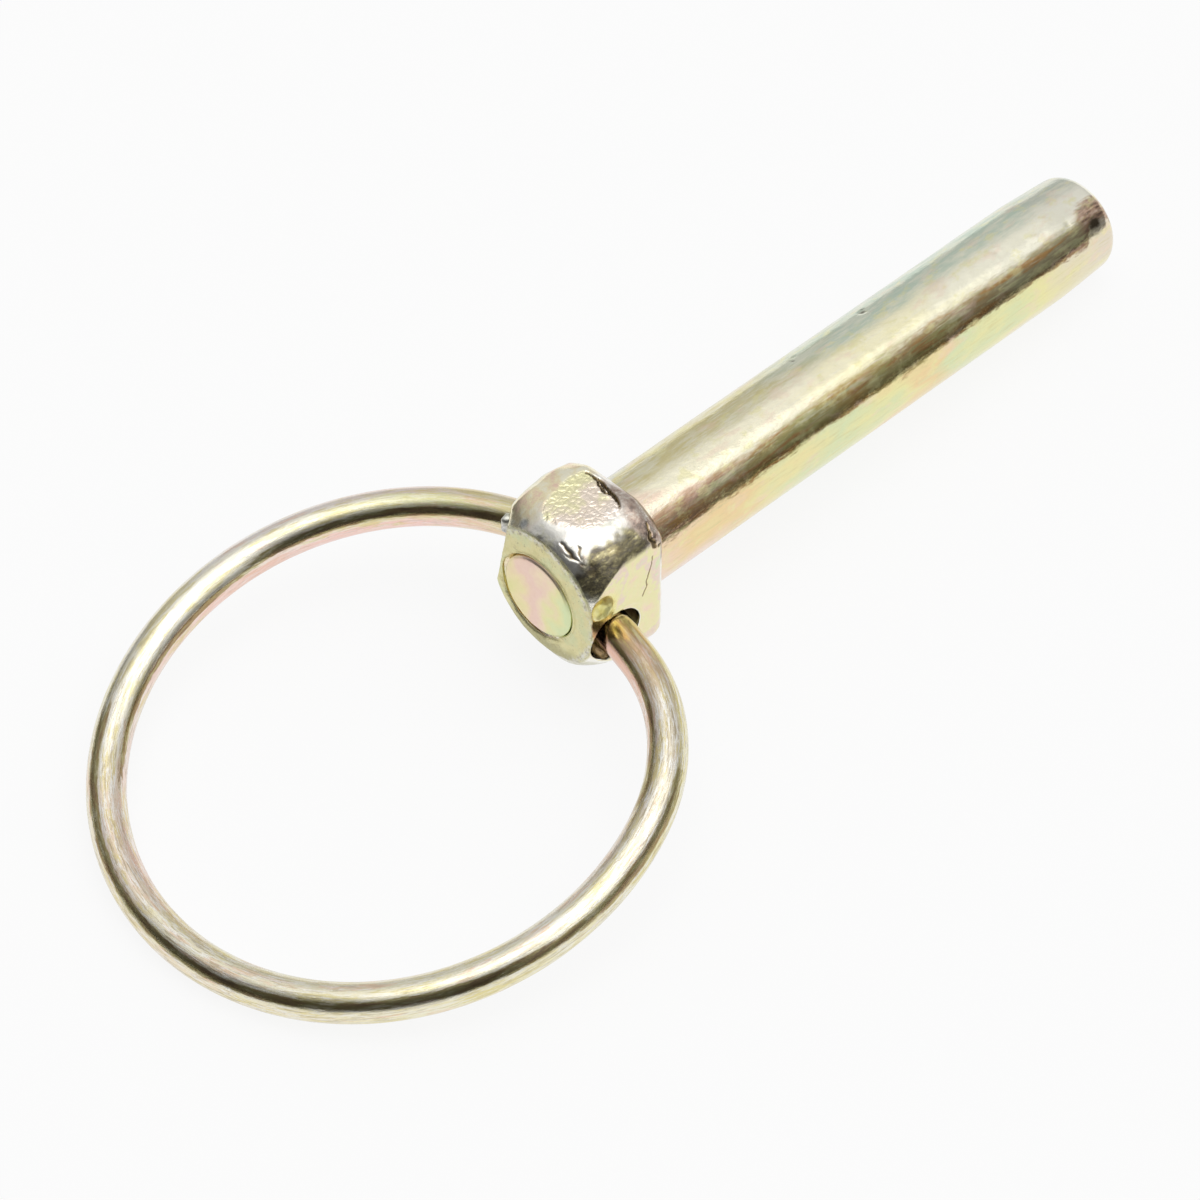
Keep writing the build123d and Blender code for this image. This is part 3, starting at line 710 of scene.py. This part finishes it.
def head_material():
    """The forged head's film: pale on its shoulders, yellow on its face, dark at its worn and torn places,
    with painted shade along its underside.
    """
    m = Nodes("head_plating_look")
    pos = m.attr("pin")
    x, y = m.split(pos)[:2]
    patch, dark, cupped = m.split(m.attr("marks"))
    corner, rear, flat = m.split(m.attr("zones"))
    rim, cool, under = m.split(m.attr("wear_and_shade"))
    slow = m.noise(m.stretch(pos, (0.35, 0.35, 0.35)), 1.0, 4.0, 0.62)
    colour = m.ramp(slow, [(0.30, PINK), (0.42, WHITE), (0.55, WHITE), (0.66, (0.84, 0.82, 0.62))])
    warm = m.fit(m.plus(y, m.times(slow, 2.0)), 1.6, 3.4)
    colour = m.mix(warm, colour, m.ramp(m.noise(pos, 0.6, 4.0, 0.65),
                                        [(0.36, (0.88, 0.66, 0.52)), (0.48, (0.94, 0.84, 0.56)),
                                         (0.62, (0.97, 0.93, 0.74))]))
    side = m.fit(m.plus(y, m.times(slow, 2.0)), 5.2, 6.4)
    colour = m.mix(side, colour, (0.66, 0.67, 0.48))
    colour = m.mix(m.times(corner, 0.9), colour,
                   m.ramp(m.noise(m.stretch(pos, (0.6, 1.5, 1.5)), 1.0, 6.0, 0.75),
                          [(0.38, SOOT), (0.49, (0.24, 0.20, 0.09)), (0.60, (0.48, 0.42, 0.20)),
                           (0.72, (0.84, 0.78, 0.56))]))
    colour = m.mix(m.times(rear, 0.85), colour,
                   m.ramp(m.noise(pos, 0.9, 6.0, 0.75),
                          [(0.38, (0.14, 0.08, 0.06)), (0.48, (0.36, 0.24, 0.18)), (0.58, (0.50, 0.42, 0.35)),
                           (0.68, WHITE)]))
    pastel = m.ramp(m.noise(m.stretch(pos, (0.42, 0.42, 0.42), (4, 2, 9)), 1.0, 3.0, 0.55),
                    [(0.30, PINK), (0.42, (0.86, 0.78, 0.48)), (0.52, (0.84, 0.80, 0.46)),
                     (0.60, (0.84, 0.68, 0.58)), (0.70, GREEN)])
    colour = m.mix(flat, colour, pastel)
    across = m.plus(m.times(y, 0.10), m.times(slow, 0.9))
    wrinkled = m.ramp(across, [(0.22, (0.98, 0.88, 0.78)), (0.40, (0.97, 0.84, 0.70)),
                               (0.50, (0.96, 0.90, 0.58)), (0.70, (0.94, 0.90, 0.54))])
    colour = m.mix(patch, colour, wrinkled)
    face = m.fit(x, -9.1, -9.3)
    face_colour = m.ramp(m.noise(pos, 0.45, 4.0, 0.6),
                         [(0.34, (0.70, 0.66, 0.34)), (0.5, (0.80, 0.74, 0.42)), (0.64, (0.72, 0.73, 0.44))])
    colour = m.mix(face, colour, face_colour)
    # Painted shade: a dark olive band along the underside
    colour = m.mix(m.times(under, 0.8), colour, (0.46, 0.43, 0.24))
    scuff = mottle(m, pos, (2.2, 2.2, 2.2), 6.0, 0.8, 0.40, 0.56)
    colour = m.mix(m.times(rim, scuff), colour,
                   m.ramp(m.noise(pos, 1.9, 6.0, 0.8),
                          [(0.40, (0.34, 0.30, 0.22)), (0.52, (0.80, 0.79, 0.72))]))
    colour = m.mix(m.times(cool, 0.85), colour,
                   m.ramp(m.noise(pos, 1.5, 5.0, 0.7),
                          [(0.38, (0.24, 0.26, 0.28)), (0.52, (0.52, 0.54, 0.55)),
                           (0.64, (0.86, 0.87, 0.86))]))
    colour = m.mix(cupped, colour, m.ramp(m.noise(pos, 1.3, 4.0),
                                          [(0.34, (0.66, 0.48, 0.14)), (0.46, (0.94, 0.86, 0.30)),
                                           (0.6, (0.97, 0.92, 0.42))]))
    speck = mottle(m, pos, (2.2, 2.2, 2.2), 6.0, 0.8, 0.60, 0.70)
    colour = m.mix(m.times(speck, 0.6), colour, WHITE)
    grime = mottle(m, pos, (1.7, 1.7, 1.7), 6.0, 0.8, 0.37, 0.28)
    colour = m.mix(m.times(grime, 0.5), colour, BROWN)
    freckle = m.times(mottle(m, pos, (2.4, 1.6, 1.6), 6.0, 0.85, 0.42, 0.36), face)
    colour = m.mix(m.times(freckle, 0.75), colour, (0.34, 0.27, 0.14))
    colour = m.mix(m.fit(dark, 0.0, 0.55), colour, (0.26, 0.19, 0.09))
    colour = m.mix(m.fit(dark, 0.5, 1.0), colour, SOOT)
    m.set("Base Color", colour)
    m.set("Metallic", 1.0)
    fine = m.noise(pos, 2.6, 5.0, 0.7)
    rough = m.plus(m.times(m.fit(fine, 0.35, 0.7), 0.14), 0.08)
    rough = m.plus(rough, m.times(m.math("MAXIMUM", face, m.math("MAXIMUM", cupped, cool)), 0.26))
    m.set("Roughness", m.plus(rough, m.times(patch, 0.10)))
    grain = m.noise(pos, 2.6, 6.0, 0.7)
    depth = m.plus(m.times(m.math("MAXIMUM", m.times(corner, 0.5), face), 0.45), 0.22)
    soft = m.bump(grain, depth, 0.00009)
    warp = m.add("ShaderNodeTexNoise", {"Vector": pos, "Scale": 1.8, "Detail": 2.0}).outputs["Color"]
    bent = m.add("ShaderNodeVectorMath", {0: pos,
                                          1: m.add("ShaderNodeVectorMath", {0: warp, 3: 0.55},
                                                   operation="SCALE").outputs[0]},
                 operation="ADD").outputs[0]
    net = m.add("ShaderNodeTexVoronoi", {"Vector": m.stretch(bent, (1.3, 1.9, 0.8)), "Scale": 1.0},
                feature="DISTANCE_TO_EDGE").outputs["Distance"]
    net = m.times(m.fit(net, 0.0, 0.30), patch)
    m.set("Normal", m.bump(net, 0.5, 0.00007, soft))
    return m.mat


def ring_material():
    """The wire's film in zones along and round it, with drawn streaks, scratches, tinted patches and painted
    dark reflection stripes.
    """
    m = Nodes("ring_plating_look")
    pos = m.attr("wire")
    s = m.split(pos)[0]
    dark_reflection_stripe, side = m.split(m.attr("film"))[:2]
    drift = m.noise(m.stretch(pos, (0.16, 0.8, 0.8)), 1.0, 4.0, 0.65)
    fray = m.noise(m.stretch(pos, (0.45, 3.5, 3.5)), 1.0, 6.0, 0.75)
    across = m.plus(side, m.swing(drift, 0.7))
    across = m.plus(across, m.swing(fray, 0.7))
    along = m.plus(m.math("DIVIDE", s, FILM_L), m.swing(drift, 0.10))
    inner = m.ramp(along, [(0.02, (0.72, 0.46, 0.38)), (0.13, (0.78, 0.60, 0.46)), (0.22, (0.80, 0.77, 0.62)),
                           (0.45, (0.78, 0.74, 0.52)), (0.54, (0.82, 0.62, 0.52)), (0.66, (0.86, 0.72, 0.64)),
                           (0.76, (0.90, 0.64, 0.56)), (0.93, (0.90, 0.62, 0.56)),
                           (0.98, (0.70, 0.74, 0.40))])
    body = m.ramp(along, [(0.02, (0.46, 0.31, 0.16)), (0.05, (0.60, 0.46, 0.30)), (0.09, (0.76, 0.68, 0.54)),
                          (0.22, (0.86, 0.81, 0.62)), (0.50, (0.85, 0.80, 0.60)), (0.57, (0.80, 0.64, 0.52)),
                          (0.66, (0.87, 0.83, 0.68)), (0.84, (0.92, 0.88, 0.72)), (0.92, (0.78, 0.76, 0.44)),
                          (1.0, (0.66, 0.56, 0.30))])
    outer = m.ramp(along, [(0.0, (0.78, 0.66, 0.32)), (0.12, (0.84, 0.78, 0.48)), (0.33, (0.86, 0.81, 0.56)),
                           (0.5, (0.84, 0.72, 0.54)), (0.66, (0.84, 0.80, 0.60)), (0.8, (0.82, 0.78, 0.74)),
                           (0.92, (0.80, 0.66, 0.58)), (1.0, (0.74, 0.68, 0.36))])
    colour = m.mix(m.fit(across, -0.75, -0.40), inner, body)
    colour = m.mix(m.fit(across, 0.55, 0.80), colour, outer)
    hue = m.noise(m.stretch(pos, (0.12, 0.7, 0.7), (3, 8, 2)), 1.0, 5.0, 0.7)
    colour = m.mix(m.times(m.fit(hue, 0.51, 0.60), 0.6), colour, (0.72, 0.62, 0.24))
    colour = m.mix(m.times(m.fit(hue, 0.47, 0.38), 0.55), colour, (0.82, 0.54, 0.40))
    worn = m.ramp(along, [(0.03, (0.1,) * 3), (0.08, (1, 1, 1)), (0.20, (0.9,) * 3), (0.32, (0.4,) * 3),
                          (0.44, (0.8,) * 3), (0.62, (0.9,) * 3), (0.74, (0.4,) * 3), (1.0, (0.3,) * 3)])
    scratch = m.times(mottle(m, pos, (0.5, 5.0, 5.0), 6.0, 0.8, 0.49, 0.56), worn)
    colour = m.mix(m.times(scratch, 0.85), colour, (0.92, 0.92, 0.90))
    groove = m.times(mottle(m, pos, (0.45, 5.5, 5.5), 6.0, 0.8, 0.485, 0.42), worn)
    colour = m.mix(m.times(groove, 0.75), colour, (0.42, 0.34, 0.22))
    # Painted dark reflection: dark brown stripes along the wire, frayed at their edges
    dark_reflection_noise = m.noise(m.stretch(pos, (0.30, 2.2, 2.2), (1, 6, 2)), 1.0, 6.0, 0.75)
    dark_reflection_colour = m.ramp(dark_reflection_noise, [(0.34, (0.16, 0.10, 0.05)), (0.46, (0.36, 0.24, 0.11)), (0.55, (0.40, 0.36, 0.14)),
                          (0.64, (0.72, 0.66, 0.48))])
    edge = m.plus(dark_reflection_stripe, m.swing(fray, 2.2))
    colour = m.mix(m.times(m.fit(edge, 0.40, 0.72), 0.88), colour, dark_reflection_colour)
    m.set("Base Color", colour)
    m.set("Metallic", 1.0)
    draw = m.noise(m.stretch(pos, (0.4, 5.0, 5.0)), 1.0, 6.0, 0.7)
    rough = m.plus(m.times(m.fit(draw, 0.35, 0.7), 0.12), 0.08)
    m.set("Roughness", m.plus(rough, m.times(scratch, 0.15)))
    grain = m.noise(m.stretch(pos, (0.6, 4.0, 4.0)), 1.0, 6.0, 0.75)
    depth = m.plus(m.times(worn, 0.45), 0.2)
    m.set("Normal", m.bump(grain, depth, 0.00004))
    return m.mat


def floor_material():
    """Matt white, brightened where it is seen or mirrored, so that it still takes the object's shadow."""
    m = Nodes("floor_look")
    grain = m.noise(m.add("ShaderNodeTexCoord").outputs["Object"], 40.0, 2.0)
    m.set("Base Color", m.ramp(grain, [(0.0, (0.92, 0.92, 0.92)), (1.0, (0.95, 0.95, 0.95))]))
    m.set("Roughness", 1.0)
    m.set("Specular IOR Level", 0.0)
    path = m.add("ShaderNodeLightPath").outputs
    seen = m.math("MAXIMUM", path["Is Camera Ray"], path["Is Glossy Ray"])
    seen = m.math("MAXIMUM", seen, path["Is Transmission Ray"])
    glow = m.add("ShaderNodeEmission", {"Color": (1, 1, 1, 1), "Strength": 1.0})
    blend = m.add("ShaderNodeMixShader", {0: m.times(seen, 0.88), 1: m.shader.outputs[0], 2: glow.outputs[0]})
    m.tree.links.new(blend.outputs[0], m.tree.nodes["Material Output"].inputs["Surface"])
    return m.mat


def staged(name, points, faces, material):
    """A thing of the studio, which isn't part of the object."""
    mesh = bpy.data.meshes.new(name)
    mesh.from_pydata(points, [], faces)
    mesh.materials.append(material)
    obj = bpy.data.objects.new(name, mesh)
    bpy.context.scene.collection.objects.link(obj)
    return obj


def studio():
    """White table under a wide soft overhead light, with a dark room on the camera's side."""
    staged("floor", [(-0.7, -0.7, 0), (0.7, -0.7, 0), (0.7, 0.7, 0), (-0.7, 0.7, 0)], [(0, 1, 2, 3)],
           floor_material())
    world = bpy.data.worlds.new("studio")
    bpy.context.scene.world = world
    m = Nodes(world)
    x, y, z = m.split(m.add("ShaderNodeTexCoord").outputs["Generated"])
    flat = m.math("MAXIMUM", m.math("SQRT", m.plus(m.times(x, x), m.times(y, y))), 0.001)

    def towards(azimuth, low, high):
        ca, sa = math.cos(math.radians(azimuth)), math.sin(math.radians(azimuth))
        along = m.plus(m.times(x, ca), m.times(y, sa))
        return m.add("ShaderNodeMapRange", {"Value": m.math("DIVIDE", along, flat), "From Min": low,
                                            "From Max": high},
                     interpolation_type="SMOOTHSTEP").outputs[0]

    def rise(*stops):
        return m.ramp(z, [(math.sin(math.radians(e)), (v / 2,) * 3) for e, v in stops])

    right = rise((0, 0.62), (45, 0.72), (58, 1.0), (68, 1.3), (78, 1.95))
    front = rise((0, 0.20), (14, 0.30), (24, 0.42), (34, 0.8), (44, 1.0), (52, 1.8), (60, 1.95))
    camera_side = rise((0, 0.10), (40, 0.12), (50, 0.28), (60, 0.48), (70, 1.0), (78, 1.9))
    behind = rise((0, 0.16), (15, 0.22), (26, 0.45), (45, 0.62), (60, 0.8), (72, 1.2), (80, 1.9))
    look = m.mix(towards(-65, 0.6, 0.9), right, front)
    look = m.mix(towards(118, 0.72, 0.94), look, behind)
    look = m.mix(towards(-166, 0.30, 0.62), look, camera_side)
    path = m.add("ShaderNodeLightPath").outputs
    back = m.tree.nodes["Background"]
    m.tree.links.new(m.mix(path["Is Camera Ray"], look, (0.5, 0.5, 0.5)), back.inputs["Color"])
    back.inputs["Strength"].default_value = 2.0


def camera():
    data = bpy.data.cameras.new("camera")
    data.lens = CAMERA_LENS
    data.sensor_width = 36.0
    data.clip_start, data.clip_end = 0.01, 10.0
    obj = bpy.data.objects.new("camera", data)
    right, down, ahead = (np.array(v) @ PIN_AXES for v in (CAMERA_RIGHT, CAMERA_DOWN, CAMERA_AHEAD))
    place = to_row(CAMERA_PLACE)
    obj.matrix_world = Matrix([[right[i], -down[i], -ahead[i], place[i]] for i in range(3)] + [[0, 0, 0, 1]])
    bpy.context.scene.collection.objects.link(obj)
    bpy.context.scene.camera = obj


camera()
studio()
for piece, look in ((shank(), shank_material()), (head(), head_material()), (ring(), ring_material())):
    piece.data.materials.clear()
    piece.data.materials.append(look)
bpy.context.scene.view_settings.view_transform = "Standard"
